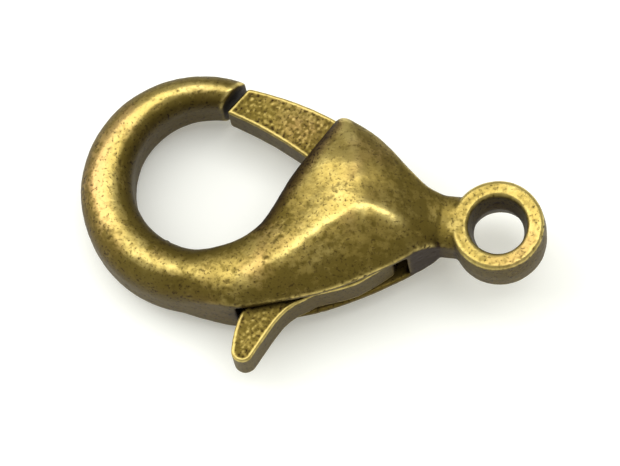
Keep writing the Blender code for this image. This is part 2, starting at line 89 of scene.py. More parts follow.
# %% [markdown]
# ## Colours
# Antique brass is a warm plating that is dipped black and then rubbed, so the high spots
# are pale yellow, the flanks olive, and the recesses nearly black. Colours are chosen as
# hex values, as a painter reads them, and one function turns them to linear light by the
# usual screen curve, whose straight foot and steeper rest give the numbers in it.
# %% Colours


def linear(code):
    """A hex colour as linear red, green, blue and alpha."""
    parts = [int(code[at:at + 2], 16) / 255 for at in (0, 2, 4)]
    return (*[part / 12.92 if part <= 0.04045 else ((part + 0.055) / 1.055) ** 2.4
              for part in parts], 1.0)


RUBBED_BRASS = linear("CAB770")
ANTIQUE_BRASS = linear("A5904C")
# Olive and black also stand for painted shade: the olive film on slopes, and the black on steep
# walls and in the nook before the eye.
OLIVE_PATINA_AND_SHADE = linear("5E501E")
BLACK_DIP = linear("2E2014")
COPPER_BLUSH = linear("C79A6E")
DARK_STEEL = linear("6B6049")
print("rubbed brass in linear light", [round(part, 3) for part in RUBBED_BRASS[:3]])

# %% [markdown]
# ## A working copy at a thousand to one
# The clasp is 12 mm long, and some of Blender's modifiers stop at a tenth of a
# millimetre. So each casting is copied, its corners are merged, and it is worked on with
# one Blender metre for each millimetre, in the clasp's own axes. Then it is put back.
# %% A working copy at a thousand to one
SAME_CORNER = 0.0005


def only(piece):
    """Selects one object and nothing else."""
    bpy.ops.object.select_all(action="DESELECT")
    piece.select_set(True)
    bpy.context.view_layer.objects.active = piece


def working_copy(node, name):
    """A merged copy of a node's mesh, in millimetres and in the clasp's own axes."""
    only(frame["nodes"][node])
    bpy.ops.object.duplicate()
    piece = bpy.context.active_object
    piece.name = name
    piece.parent = None
    piece.matrix_world = Matrix.Identity(4)
    piece.hide_render = False
    piece.data.materials.clear()
    piece.data.transform(Matrix.Scale(1 / MM, 4) @ TO_CLASP)
    only(piece)
    bpy.ops.object.mode_set(mode="EDIT")
    bpy.ops.mesh.select_all(action="SELECT")
    bpy.ops.mesh.remove_doubles(threshold=SAME_CORNER)
    bpy.ops.object.mode_set(mode="OBJECT")
    print(name, "corners", len(piece.data.vertices))
    return piece


def put_back(piece):
    """Back to metres and to the clasp's place on the table, and selected there."""
    piece.data.transform(TO_CLASP.inverted() @ Matrix.Scale(MM, 4))
    piece.data.update()
    only(piece)
    print(piece.name, "faces", len(piece.data.polygons))


body_casting = working_copy("body", "body_casting")
lever_casting = working_copy("lever", "lever_casting")

# %% [markdown]
# ## The skin of a casting
# A die casting has no sharp edge: the mould, the plating and the tumbling barrel all
# round it. A bevel would round the edges one by one. A voxel remesh gives an even net
# that can carry pits too, and a smoothing modifier then melts the facets and the edges
# together, as tumbling does. The flat lever gets a finer net and less tumbling.
# %% The skin of a casting
BODY_NET, BODY_TUMBLING = 0.047, 7
LEVER_NET, LEVER_TUMBLING = 0.032, 5
TUMBLING_STEP = 0.5


def apply_modifier(piece, kind, name, **settings):
    """Adds a modifier with its settings and applies it."""
    only(piece)
    made = piece.modifiers.new(name, kind)
    for key, value in settings.items():
        setattr(made, key, value)
    bpy.ops.object.modifier_apply(modifier=made.name)


def cast_skin(piece, net, tumbling):
    """An even, softly rounded net over the whole casting."""
    apply_modifier(piece, "REMESH", "even_net", mode="VOXEL", voxel_size=net)
    apply_modifier(piece, "SMOOTH", "tumbling", factor=TUMBLING_STEP, iterations=tumbling)
    print(piece.name, "net faces", len(piece.data.polygons))


cast_skin(body_casting, BODY_NET, BODY_TUMBLING)
cast_skin(lever_casting, LEVER_NET, LEVER_TUMBLING)

# %% [markdown]
# ## Reading and moving a mesh
# A net of a hundred thousand corners is too much for the mouse, so its corners are read
# into arrays, moved there and written back. That is what a sculpting brush does too, but
# here each move has a size in millimetres and comes out the same each time.
# %% Reading and moving a mesh


def read_mesh(piece):
    """Places, normals and edges of a mesh as arrays."""
    mesh = piece.data
    places = np.empty(len(mesh.vertices) * 3)
    mesh.vertices.foreach_get("co", places)
    normals = np.empty(len(mesh.vertices) * 3)
    mesh.vertices.foreach_get("normal", normals)
    edges = np.empty(len(mesh.edges) * 2, dtype=np.int64)
    mesh.edges.foreach_get("vertices", edges)
    return places.reshape(-1, 3), normals.reshape(-1, 3), edges.reshape(-1, 2)


def write_places(piece, places):
    """Puts the vertices where the array says."""
    piece.data.vertices.foreach_set("co", places.ravel())
    piece.data.update()


def push(piece, amounts):
    """Moves each vertex along its normal."""
    places, normals, _ = read_mesh(piece)
    write_places(piece, places + normals * amounts[:, None])
    print(piece.name, "pushed, mm", round(float(np.abs(amounts).max()), 3), "at most")


for casting in (body_casting, lever_casting):
    print(casting.name, "highest point, mm", round(float(read_mesh(casting)[0][:, 2].max()), 3))

# %% [markdown]
# ## Saying where on the casting
# Three measures say where something happens and how much: a soft step from one level to
# another, a bell round a place, and smooth noise for what has no pattern, such as pits.
# A hard limit would show as a line on polished metal.
# %% Saying where on the casting
NOISE_REACH = 1.6
NOISE_SHIFT = (7.3, 3.1, 5.7)


def smooth_step(values, low, high):
    """0 below low, 1 above high, and a soft slope between."""
    share = np.clip((values - low) / (high - low), 0, 1)
    return share * share * (3 - 2 * share)


def bell(places, middle, reach):
    """1 at a middle and fading to 0 over a reach, seen from above."""
    return np.exp(-(np.linalg.norm(places[:, :2] - middle, axis=1) / reach) ** 2)


def grain(places, size, seed):
    """Smooth noise between about -1 and 1, with lumps of a given size in mm."""
    shift = Vector([seed * part for part in NOISE_SHIFT])
    lumps = [noise.noise(Vector(place) / size + shift) for place in places]
    return np.array(lumps) * NOISE_REACH


print("half of a soft step", float(smooth_step(np.array(0.5), 0, 1)))

# %% [markdown]
# ## The lever's full belly
# Between the thumb and the eye the lever swells until it is nearly flush with the
# cheeks' edge, so that nothing catches there. The solid lies a little inside that line.
# A push of up to a fifth of a millimetre, growing softly from the rivet outwards, makes
# the belly fuller and leaves the gate, the thumb and the boss alone.
# %% The lever's full belly
BELLY_OUT = np.array((0.50, -0.866))
BELLY_REACH = (1.0, 1.85)
BELLY_ALONG = (3.1, 4.2)
BELLY_FILL = 0.20
places, _, _ = read_mesh(lever_casting)
from_rivet = places[:, :2] - np.array(PIVOT_FROM_OPENING[:2])
fill = BELLY_FILL * smooth_step(from_rivet @ BELLY_OUT, *BELLY_REACH)
fill *= smooth_step(places[:, 0], *BELLY_ALONG)
places[:, :2] += fill[:, None] * BELLY_OUT
write_places(lever_casting, places)
print("fullest belly, mm", round(float(fill.max()), 3))

# %% [markdown]
# ## Neighbours on the net
# Each vertex of the net has about four neighbours, and their mean is useful twice. Mixed
# into a vertex's own value it blurs a measure, and set against its place it tells how
# the surface bends there.
# %% Neighbours on the net


def neighbour_mean(values, edges):
    """The mean of each vertex's neighbours."""
    total = np.zeros_like(values)
    count = np.zeros(len(values))
    for first, second in ((0, 1), (1, 0)):
        np.add.at(total, edges[:, first], values[edges[:, second]])
        np.add.at(count, edges[:, first], 1)
    count = np.maximum(count, 1)
    return total / (count if values.ndim == 1 else count[:, None])


def blurred(values, edges, rounds):
    """Values that are mixed with their neighbours' mean, over and over."""
    for _ in range(rounds):
        values = (values + neighbour_mean(values, edges)) / 2
    return values


for casting in (body_casting, lever_casting):
    neighbours = 2 * len(casting.data.edges) / len(casting.data.vertices)
    print(casting.name, "neighbours of a vertex", round(neighbours, 2))

# %% [markdown]
# ## Flat faces that stay as cast
# The gate and the thumb are flat on both sides. Tumbling media slide over them, so they
# keep the pits of the mould, inside a smooth border that is rubbed bright. The field is
# found by its normals, and the border by the distance to the lever's side walls.
# %% Flat faces that stay as cast
BORDER = 0.08
BORDER_FADE = (0.8, 1.5)
SIDE_WALL_SHARE = 0.80
FLAT_NORMAL = 0.85
FIELD_ROUNDS = 3


def pitted_field(piece):
    """1 in the middle of the flat faces, 0 on the border and the side walls."""
    places, normals, edges = read_mesh(piece)
    level = np.abs(places[:, 2]).max()
    side_walls = np.where(np.abs(places[:, 2]) < level * SIDE_WALL_SHARE)[0]
    tree = KDTree(len(side_walls))
    for count, index in enumerate(side_walls):
        tree.insert((places[index][0], places[index][1], 0), count)
    tree.balance()
    inside = np.zeros(len(places))
    for index in np.where(np.abs(normals[:, 2]) > FLAT_NORMAL)[0]:
        inside[index] = tree.find((places[index][0], places[index][1], 0))[2]
    return blurred(smooth_step(inside, *(BORDER * part for part in BORDER_FADE)),
                   edges, FIELD_ROUNDS)


lever_field = pitted_field(lever_casting)
print("pitted share of the lever", round(float(lever_field.mean()), 3))

# %% [markdown]
# ## The pits of the mould
# The pits are as fine as coarse sandpaper, in two sizes, with flat grounds between them.
# The field also lies a hair deeper than its border. All of that is a few hundredths of a
# millimetre, and it is real relief, so that it shows from every side.
# %% The pits of the mould
FIELD_SINK = 0.022
COARSE_PIT, FINE_PIT = 0.12, 0.065
PIT_MIX = 0.6
PIT_RANGE = (-0.45, 1.1)
MOULD_PIT_DEPTH = 0.007
LEVER_WAVE, LEVER_WAVE_DEPTH = 0.3, 0.004
places, _, _ = read_mesh(lever_casting)
coarse = grain(places, COARSE_PIT, seed=8)
fine = grain(places, FINE_PIT, seed=9)
mould_pits = np.clip(-(coarse * PIT_MIX + fine * PIT_MIX), *PIT_RANGE)
lever_push = -FIELD_SINK * lever_field - MOULD_PIT_DEPTH * mould_pits * lever_field
lever_push += LEVER_WAVE_DEPTH * grain(places, LEVER_WAVE, seed=3)
push(lever_casting, lever_push)

# %% [markdown]
# ## The cheeks' edge over the gate
# The cheeks end in a slanted edge, under which the gate goes into the slot. On the real
# casting that edge reaches a little further over the gate than on the solid. The part
# near the edge is shifted, with a soft fade to the rest, so the crest stays in place.
# %% The cheeks' edge over the gate
MOUTH_FROM = np.array((1.75, -1.15))
MOUTH_TO = np.array((3.13, 1.60))
MOUTH_SHIFT = np.array((-0.17, 0.07))
MOUTH_FADE = (0.15, 0.70)
MOUTH_START = (0.0, 0.55)


def from_mouth(places):
    """The distance to the line of the cheeks' edge, and the share along that line."""
    span = MOUTH_TO - MOUTH_FROM
    share = np.clip((places[:, :2] - MOUTH_FROM) @ span / (span @ span), 0, 1)
    gap = np.linalg.norm(places[:, :2] - MOUTH_FROM - share[:, None] * span, axis=1)
    return gap, share


body_places, _, _ = read_mesh(body_casting)
gap, share = from_mouth(body_places)
shift = (1 - smooth_step(gap, *MOUTH_FADE)) * smooth_step(share, *MOUTH_START)
body_places[:, :2] += shift[:, None] * MOUTH_SHIFT
write_places(body_casting, body_places)
print("vertices shifted with the edge", int((shift > 0).sum()))

# %% [markdown]
# ## The crest of the cheeks
# Light draws one bent line over the cheeks, where the slope to the gate meets the slope
# to the thumb. Its place is fine-tuned with three soft bumps and dents of less than a
# tenth of a millimetre, alike on both faces. A sculptor would do it with a wax knife.
# %% The crest of the cheeks
DOME_LEVEL = (0.8, 1.0)
DOME_BLENDS = (
    # middle, reach and height in mm
    ((3.15, 0.65), 0.50, 0.06),
    ((4.55, 0.10), 0.42, -0.07),
    ((4.20, -0.75), 0.38, 0.03),
)
on_dome = smooth_step(np.abs(body_places[:, 2]), *DOME_LEVEL)
blend = sum(height * bell(body_places, middle, reach) for middle, reach, height in DOME_BLENDS)
push(body_casting, blend * on_dome)

# %% [markdown]
# ## An uneven, worn casting
# The body's domes are smooth to the eye, but the mould's surface and the barrel leave
# shallow waves of three quarters of a millimetre and a scatter of fine pits, which come
# in patches. All of it is real relief, each less than a hundredth of a millimetre deep.
# %% An uneven, worn casting
WAVE, WAVE_DEPTH = 0.75, 0.006
DIMPLE, DIMPLE_DEPTH = 0.22, 0.003
PIT, PIT_DEPTH, PIT_RISE = 0.10, 0.009, (0.42, 0.85)
PATCH, PATCH_RISE = 0.9, (0.0, 0.7)
PITS_OUTSIDE_PATCHES = 0.25
waves = grain(body_places, WAVE, seed=4)
dimples = grain(body_places, DIMPLE, seed=5)
specks = grain(body_places, PIT, seed=6)
patches = smooth_step(grain(body_places, PATCH, seed=7), *PATCH_RISE)
body_pits = smooth_step(specks, *PIT_RISE)
body_pits = body_pits * (PITS_OUTSIDE_PATCHES + (1 - PITS_OUTSIDE_PATCHES) * patches)
push(body_casting, WAVE_DEPTH * waves + DIMPLE_DEPTH * dimples - PIT_DEPTH * body_pits)
print("pitted share of the body", round(float(body_pits.mean()), 3))

# %% [markdown]
# ## How sharply the casting bends
# Rubbing reaches outward edges first, and the dip stays in inner corners. Both are read
# off the net: a vertex that stands above the mean of its four neighbours lies on an
# edge, and one that lies below it is in a hollow. Blurring reads the broader bends.
# %% How sharply the casting bends
EDGE_ROUNDS = 2


def bend_outwards(piece, net, rounds):
    """Curvature, one over the radius in mm, positive on outward edges."""
    places, normals, edges = read_mesh(piece)
    above = np.einsum("ij,ij->i", places - neighbour_mean(places, edges), normals)
    return blurred(above * 4 / net ** 2, edges, rounds)


print("sharpest bend of the lever, 1/mm",
      round(float(bend_outwards(lever_casting, LEVER_NET, EDGE_ROUNDS).max()), 1))

# %% [markdown]
# ## Rays, and the metal that they can hit
# The black dip stays where the media can't get in, and that is where a place sees little
# of the sky. To measure it, even directions are laid over a ball by the golden angle, as
# the seeds lie on a sunflower. The castings shade each other, so they share one tree.
# %% Rays, and the metal that they can hit
RAYS = 40
GRAZING = 0.1


def tree_of(pieces):
    """One search tree over several meshes."""
    places = []
    faces = []
    for piece in pieces:
        start = len(places)
        places.extend(vertex.co.copy() for vertex in piece.data.vertices)
        faces.extend([start + corner for corner in face.vertices]
                     for face in piece.data.polygons)
    return BVHTree.FromPolygons(places, faces)


def sky_rays(count):
    """Directions spread evenly over a ball."""
    golden = math.pi * (3 - math.sqrt(5))
    rays = []
    for index in range(count):
        level = 1 - 2 * (index + 0.5) / count
        ring = math.sqrt(1 - level * level)
        turn = golden * index
        rays.append(Vector((ring * math.cos(turn), ring * math.sin(turn), level)))
    return rays


both_castings = tree_of([body_casting, lever_casting])
print("rays over half a ball", sum(ray.z > GRAZING for ray in sky_rays(RAYS)))

# %% [markdown]
# ## How much of the sky a place sees
# Rays go out from each vertex, and what they hit within about two millimetres is
# counted, near metal more than far metal. The eye, the slot and the corner beside the
# thumb come out shut in, and the domes come out open.
# %% How much of the sky a place sees
REACH = 2.2
START_OFF = 0.03
FAR_SHARE = 0.5
SKY_ROUNDS = 2
NO_SKY = 1e-6


def shut_in(piece, tree):
    """The share of the sky that nearby metal hides from each vertex."""
    places, normals, edges = read_mesh(piece)
    rays = sky_rays(RAYS)
    shut = np.zeros(len(places))
    for index, (place, normal) in enumerate(zip(places, normals)):
        normal = Vector(normal)
        start = Vector(place) + normal * START_OFF
        seen = 0.0
        blocked = 0.0
        for ray in rays:
            facing = ray.dot(normal)
            if facing > GRAZING:
                seen += facing
                distance = tree.ray_cast(start, ray, REACH)[3]
                if distance is not None:
                    blocked += facing * (1 - FAR_SHARE * distance / REACH)
        shut[index] = blocked / max(seen, NO_SKY)
    return blurred(shut, edges, SKY_ROUNDS)


body_shut = shut_in(body_casting, both_castings)
lever_shut = shut_in(lever_casting, both_castings)
print("shut in, body and lever", round(float(body_shut.mean()), 3),
      round(float(lever_shut.mean()), 3))

# %% [markdown]
# ## Wear and dirt from the shape
# The finish of a casting has a reason at every place. Sharp outward edges in open air
# are worn to bare brass, broad crests are rubbed, low parts and valleys keep the olive
# film, and hollows keep the dip. Each reason is stored as an attribute of the mesh, one
# number a vertex, which the material reads and which rides with the piece.
# %% Wear and dirt from the shape
RUB_WIDTH = 0.25
PROUD_LEVEL = (0.75, 1.45)
FACING_OUT = (-0.1, 0.35)
SHELTERED = (0.10, 0.45)
WORN_BEND = (1.0, 6.5)
RUBBED_BEND = (0.4, 1.8)
VALLEY_BEND = (0.05, 0.9)
HOLLOW_BEND = (1.8, 8.0)


def keep_attribute(piece, name, values):
    """Stores one number for each vertex."""
    layer = piece.data.attributes.new(name, "FLOAT", "POINT")
    layer.data.foreach_set("value", np.asarray(values, dtype=np.float32))
    print(piece.name, name, "mean", round(float(np.mean(values)), 3))


def standing_proud(places):
    """0 low on the clasp, 1 high on either face."""
    return smooth_step(np.abs(places[:, 2]), *PROUD_LEVEL)


def keep_wear_and_dirt(piece, net, recess, pit):
    """Measures a casting and stores what follows from its shape."""
    bend = bend_outwards(piece, net, EDGE_ROUNDS)
    broad = bend_outwards(piece, net, round((RUB_WIDTH / net) ** 2))
    places, normals, _ = read_mesh(piece)
    proud = standing_proud(places)
    outward = smooth_step(normals[:, 2] * np.sign(places[:, 2]), *FACING_OUT)
    open_air = outward * (1 - smooth_step(recess, *SHELTERED))
    keep_attribute(piece, "wear", smooth_step(bend, *WORN_BEND) * open_air)
    keep_attribute(piece, "rub", smooth_step(broad, *RUBBED_BEND) * open_air * proud)
    keep_attribute(piece, "low", 1 - proud)
    keep_attribute(piece, "valley", smooth_step(-broad, *VALLEY_BEND))
    keep_attribute(piece, "hollow", smooth_step(-bend, *HOLLOW_BEND))
    keep_attribute(piece, "recess", recess)
    keep_attribute(piece, "pit", pit)
    keep_attribute(piece, "flank", 1 - np.abs(normals[:, 2]))


FLAT_PITS, PITS_FROM_FLAT = 0.5, (0.0, 0.8)
lever_pits = (FLAT_PITS + (1 - FLAT_PITS) * smooth_step(mould_pits, *PITS_FROM_FLAT)) * lever_field
keep_wear_and_dirt(body_casting, BODY_NET, body_shut, body_pits)
keep_wear_and_dirt(lever_casting, LEVER_NET, lever_shut, lever_pits)

# %% [markdown]
# ## Places worn by use, and painted light and shade
# Some wear follows from use and not from the shape. The hook's nose turns coppery where
# the plating is thinnest, and the crown of the cheeks is rubbed most, which there is also
# a painted highlight. The cheeks' edge over the gate is darker, the nook before the eye
# gets painted shade on its walls, some soft patches have more film, left by the barrel,
# and others have less, which is painted light. They are bells round chosen places, stored
# like the rest, so the finish stays one and the same material.
# %% Places worn by use, and painted light and shade
NOSE, NOSE_OUTSIDE = (1.5, 2.8), (-0.2, 0.2)
CROWN_RUB_AND_HIGHLIGHT, CROWN_HIGHLIGHT_REACH = (3.45, 0.15), 0.75
SHADED_NOOK, SHADED_NOOK_REACH = (5.75, -1.20), 0.42
MOUTH_DARK_BAND = (0.10, 0.42)
CHEEK_LEVEL = (0.60, 0.90)
FILM_AND_PAINTED_LIGHT_PATCHES = (
    # middle, reach, and the film's share: above 0 duller, below 0 brighter as painted light
    ((0.2, -2.75), 1.3, 0.45),
    ((-1.7, -2.0), 0.7, 0.3),
    ((2.2, -2.35), 0.45, 0.55),
    ((2.3, -1.1), 0.32, 0.35),
    ((3.7, -1.6), 0.5, 0.4),
    ((6.15, -0.6), 0.35, 0.5),
    ((2.9, -1.5), 0.4, 0.25),
    ((0.3, 2.1), 0.7, 0.50),
    ((-2.5, -0.4), 0.9, -0.45),
    ((-1.7, 1.6), 0.8, -0.4),
    ((7.9, 0.0), 0.8, -0.3),
)


def keep_places(piece):
    """Stores where a casting is handled, where it is darker, and where light and shade are
    painted.
    """
    places, normals, _ = read_mesh(piece)
    outside = smooth_step(-normals[:, 0], *NOSE_OUTSIDE)
    keep_attribute(piece, "nose", smooth_step(-places[:, 0], *NOSE) * outside)
    # the rubbed crown is also a painted highlight
    crown_rub_and_highlight = bell(places, CROWN_RUB_AND_HIGHLIGHT, CROWN_HIGHLIGHT_REACH)
    keep_attribute(piece, "crown_rub_and_highlight", crown_rub_and_highlight * standing_proud(places))
    # painted shade in the nook before the eye
    keep_attribute(piece, "nook_shade", bell(places, SHADED_NOOK, SHADED_NOOK_REACH))
    gap, _ = from_mouth(places - np.append(MOUTH_SHIFT, 0))
    cheek = smooth_step(np.abs(places[:, 2]), *CHEEK_LEVEL)
    keep_attribute(piece, "mouth", (1 - smooth_step(gap, *MOUTH_DARK_BAND)) * cheek)
    film_and_painted_light = sum(share * bell(places, middle, reach) for middle, reach, share in FILM_AND_PAINTED_LIGHT_PATCHES)
    keep_attribute(piece, "dull", np.maximum(film_and_painted_light, 0))
    # less film in these patches is painted light
    keep_attribute(piece, "painted_light_patches", np.maximum(-film_and_painted_light, 0))


keep_places(body_casting)
keep_places(lever_casting)

# %% [markdown]
# ## The castings back in their places
# Both castings go back to metres and to the table. Each takes the place of its solid and
# rides on that solid's body, so that the lever, its pits and its wear turn with the hinge.
# %% The castings back in their places
for casting, node, body in ((body_casting, "body", "clasp"), (lever_casting, "lever", "lever")):
    put_back(casting)
    bpy.ops.object.shade_smooth()
    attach(casting, body)
    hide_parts(node)

# %% [markdown]
# ## The strip spring
# Only the spring's curled end shows, in a groove on the hook's inner side, and its leaf
# inside the slot. It is a bent strip with rolled edges, so a bevel is enough.
# %% The strip spring
STRIP_EDGE = 0.025
EDGE_ANGLE = math.radians(50)
SMOOTH_ANGLE = math.radians(40)
spring_strip = working_copy("spring", "spring_strip")
apply_modifier(spring_strip, "BEVEL", "rolled_edges", width=STRIP_EDGE, segments=2,
               limit_method="ANGLE", angle_limit=EDGE_ANGLE)
put_back(spring_strip)
bpy.ops.object.shade_smooth_by_angle(angle=SMOOTH_ANGLE)
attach(spring_strip, "clasp")
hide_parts("spring")
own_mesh(spring_strip)

# %% [markdown]
# ## Nodes for the finishes
# A finish is a tree of small nodes. One function adds a node, gives its live sockets
# their links or plain values in order, and hands back its first live output, so one call
# can feed the next. It serves every kind of node. Another builds a share up in layers,
# as the plater does: this much more film here, rubbed off by that much there.
# %% Nodes for the finishes


def add(tree, kind, *inputs, **settings):
    """Adds a node with its settings, its links and its values."""
    node = tree.nodes.new(kind)
    for key, value in settings.items():
        setattr(node, key, value)
    live = [socket for socket in node.inputs if socket.enabled]
    for socket, source in zip(live, inputs):
        if isinstance(source, bpy.types.NodeSocket):
            tree.links.new(source, socket)
        else:
            socket.default_value = source
    return next(socket for socket in node.outputs if socket.enabled)


def built_up(tree, total, layers):
    """A share that layers add to or take from, and that stays within 0 and 1."""
    for operation, source, share in layers:
        layer = add(tree, "ShaderNodeMath", source, share, operation="MULTIPLY", use_clamp=True)
        total = add(tree, "ShaderNodeMath", total, layer, operation=operation, use_clamp=True)
    return total


def new_metal(name):
    """An empty metal finish, with the places on the clasp for its patterns."""
    finish = bpy.data.materials.new(name)
    finish.use_nodes = True
    shader = finish.node_tree.nodes["Principled BSDF"]
    shader.inputs["Metallic"].default_value = 1.0
    where = finish.node_tree.nodes.new("ShaderNodeTexCoord").outputs["Object"]
    print("new finish", name)
    return finish, finish.node_tree, shader, where


# %% [markdown]
# ## Patterns that break up the finish
# Nothing is even on a tumbled casting. The barrel's load rubs in clouds of a millimetre,
# the film breaks into specks, and dirt sits in flecks of a few hundredths. Each pattern
# is noise whose scale is one over its real size. The finest flecks are drawn a little
# coarser than they are, or they would vanish in the picture.
# %% Patterns that break up the finish
PATTERNS = (
    # name, size in mm and levels of detail
    ("cloud", 0.9, 4),
    ("speck", 0.16, 3),
    ("fleck", 0.07, 2),
    ("blush", 1.6, 2),
    ("mottle", 0.30, 3),
)
GRAIN = 0.55
READ_FROM_MESH = ("wear", "rub", "low", "valley", "nose", "crown_rub_and_highlight", "mouth", "dull", "painted_light_patches",
                  "nook_shade", "hollow", "recess", "pit", "flank")
MOTTLED = (0.40, 0.62, 0.62, 1.0)
BROKEN = (0.36, 0.58, 0.45, 1.0)


def readings(tree, where):
    """What the finish reads, by name: the mesh's measures and the patterns."""
    at = {name: add(tree, "ShaderNodeAttribute", attribute_name=name) for name in READ_FROM_MESH}
    for name, size, detail in PATTERNS:
        at[name] = add(tree, "ShaderNodeTexNoise", where, 1 / (size * MM), detail, GRAIN)
    at["mottle"] = add(tree, "ShaderNodeMapRange", at["mottle"], *MOTTLED)
    broken = add(tree, "ShaderNodeMapRange", at["speck"], *BROKEN)
    at["wear"] = built_up(tree, at["wear"], [
        ("MULTIPLY", broken, 1.0),       # bare metal shows in specks
        ("SUBTRACT", at["mouth"], 0.7)])  # and not in the dark band over the gate
    return at


print("readings for a finish", len(READ_FROM_MESH) + len(PATTERNS))

# %% [markdown]
# ## Brass under the film
# The plating itself is a mirror-like film of brass. It is palest where it is rubbed, and
# copper shows through where it is thin, at the hook's nose and along the cheeks' edge.
# %% Brass under the film
PALE_CLOUDS = (0.50, 0.85)
BLUSHING = (0.52, 0.70)


def bare_brass(tree, at):
    """The colour of the plating where no film covers it."""
    shine = built_up(tree, add(tree, "ShaderNodeMapRange", at["cloud"], *PALE_CLOUDS), [
        ("ADD", at["rub"], 0.9)])        # broad crests are the palest
    blush = built_up(tree, 0.0, [
        ("ADD", add(tree, "ShaderNodeMapRange", at["blush"], *BLUSHING), 0.35),
        ("ADD", at["nose"], 0.35),       # thin plating on the nose
        ("ADD", at["mouth"], 0.4)])      # and at the cheeks' edge
    brass = add(tree, "ShaderNodeMix", shine, ANTIQUE_BRASS, RUBBED_BRASS, data_type="RGBA")
    return add(tree, "ShaderNodeMix", blush, brass, COPPER_BLUSH, data_type="RGBA")


print("rubbed against antique brass, green", round(RUBBED_BRASS[1] / ANTIQUE_BRASS[1], 2))

# %% [markdown]
# ## The olive film, with painted light and shade
# The dip leaves a brown film, thin enough to look olive over brass. It stays on all that
# leans away from the media, where it is also painted shade on the slopes, low on the clasp
# and in valleys, and it goes from the crown, the rubbed crests and the worn edges. Less
# film on the crown and in some patches is also painted light. The layers below tell that
# in the same order.
# %% The olive film, with painted light and shade
FILM_SPECKS = (0.46, 0.70)
FILM_SHELTER = (0.05, 0.60)
LEANING_FILM_AND_SHADE = (0.012, 0.15)
NOSE_FLAT = (0.15, 0.40)
PATCH_FLAT = (0.10, 0.35)


def olive_film_and_painted_light(tree, at, olive_share, pit_film):
    """The share of the film that is left, with painted shade on slopes and painted light on the
    crown and in patches.
    """
    nose_rub = built_up(tree, at["nose"], [
        ("SUBTRACT", add(tree, "ShaderNodeMapRange", at["flank"], *NOSE_FLAT), 1.0)])
    leaning_film_and_shade = built_up(tree, add(tree, "ShaderNodeMapRange", at["flank"], *LEANING_FILM_AND_SHADE), [
        ("SUBTRACT", nose_rub, 0.4)])
    painted_light_patches = built_up(tree, at["painted_light_patches"], [
        ("SUBTRACT", add(tree, "ShaderNodeMapRange", at["flank"], *PATCH_FLAT), 1.0)])
    return built_up(tree, add(tree, "ShaderNodeMapRange", at["speck"], *FILM_SPECKS), [
        ("ADD", add(tree, "ShaderNodeMapRange", at["recess"], *FILM_SHELTER), 1.0),
        ("ADD", at["low"], 0.32),        # media strike the low parts less
        ("ADD", at["valley"], 0.9),
        ("MULTIPLY", olive_share, 1.0),  # how much of it the barrel left in all
        ("ADD", leaning_film_and_shade, at["mottle"]),  # slopes keep it in mottles, partly as painted shade
        ("ADD", at["pit"], pit_film),
        ("SUBTRACT", at["rub"], 0.5),
        # less film on the crown is partly a painted highlight
        ("SUBTRACT", at["crown_rub_and_highlight"], 0.55),
        ("ADD", at["dull"], at["mottle"]),
        # less film in these patches is painted light
        ("SUBTRACT", painted_light_patches, 1.0),
        ("SUBTRACT", at["wear"], 1.0),
        ("MULTIPLY", 0.88, 1.0)])        # some brass shines through everywhere


print("olive against antique brass, green", round(OLIVE_PATINA_AND_SHADE[1] / ANTIQUE_BRASS[1], 2))

# %% [markdown]
# ## The black dip in the recesses, and painted shade
# Where nothing rubs, the dip stays black: in the eye and the slot, in inner corners and in
# the pits. Steep walls and the nook's walls before the eye are darkened as painted shade,
# and the cheeks' edge over the gate is darker too. Loose flecks of the dip lie everywhere.
# %% The black dip in the recesses, and painted shade
DIP_SHELTER = (0.26, 0.95)
STEEP_WALL_SHADE = (0.22, 0.75)
DARK_FLECKS = (0.57, 0.68)


def dip_and_painted_shade(tree, at, pit_dark):
    """The share of the black dip that is left, with painted shade on steep walls and in the nook.
    """
    return built_up(tree, add(tree, "ShaderNodeMapRange", at["recess"], *DIP_SHELTER), [
        ("ADD", at["hollow"], 1.0),
        # painted shade on steep walls
        ("ADD", add(tree, "ShaderNodeMapRange", at["flank"], *STEEP_WALL_SHADE), 0.48),
        ("ADD", at["mouth"], 0.7),
        ("ADD", at["nook_shade"], at["flank"]),  # painted shade on the nook's walls, but not its top
        ("ADD", at["pit"], pit_dark),
        ("ADD", add(tree, "ShaderNodeMapRange", at["fleck"], *DARK_FLECKS), 0.6),
        ("SUBTRACT", at["wear"], 0.8)])


print("darkest colour in linear light", [round(part, 3) for part in BLACK_DIP[:3]])

# %% [markdown]
# ## Antique brass plating, dipped black and tumbled
# All of it comes together on one metal. Its colour goes from black in the recesses, over
# olive flanks, whose darkness is partly painted shade, to pale yellow where it bends
# outwards. Worn brass is smoother than the film, so the roughness follows the same maps:
# the eye reads a soft sheen on the flanks and a clear crest line. The lever's flat faces
# are duller, because they stay as cast.
# %% Antique brass plating, dipped black and tumbled
FILM_ROUGH = 0.56
WORN_BARE = 0.7
FLECK_RELIEF = 0.012 * MM
FLECK_STRENGTH = 0.35
BUMP_FILTER = 0.1


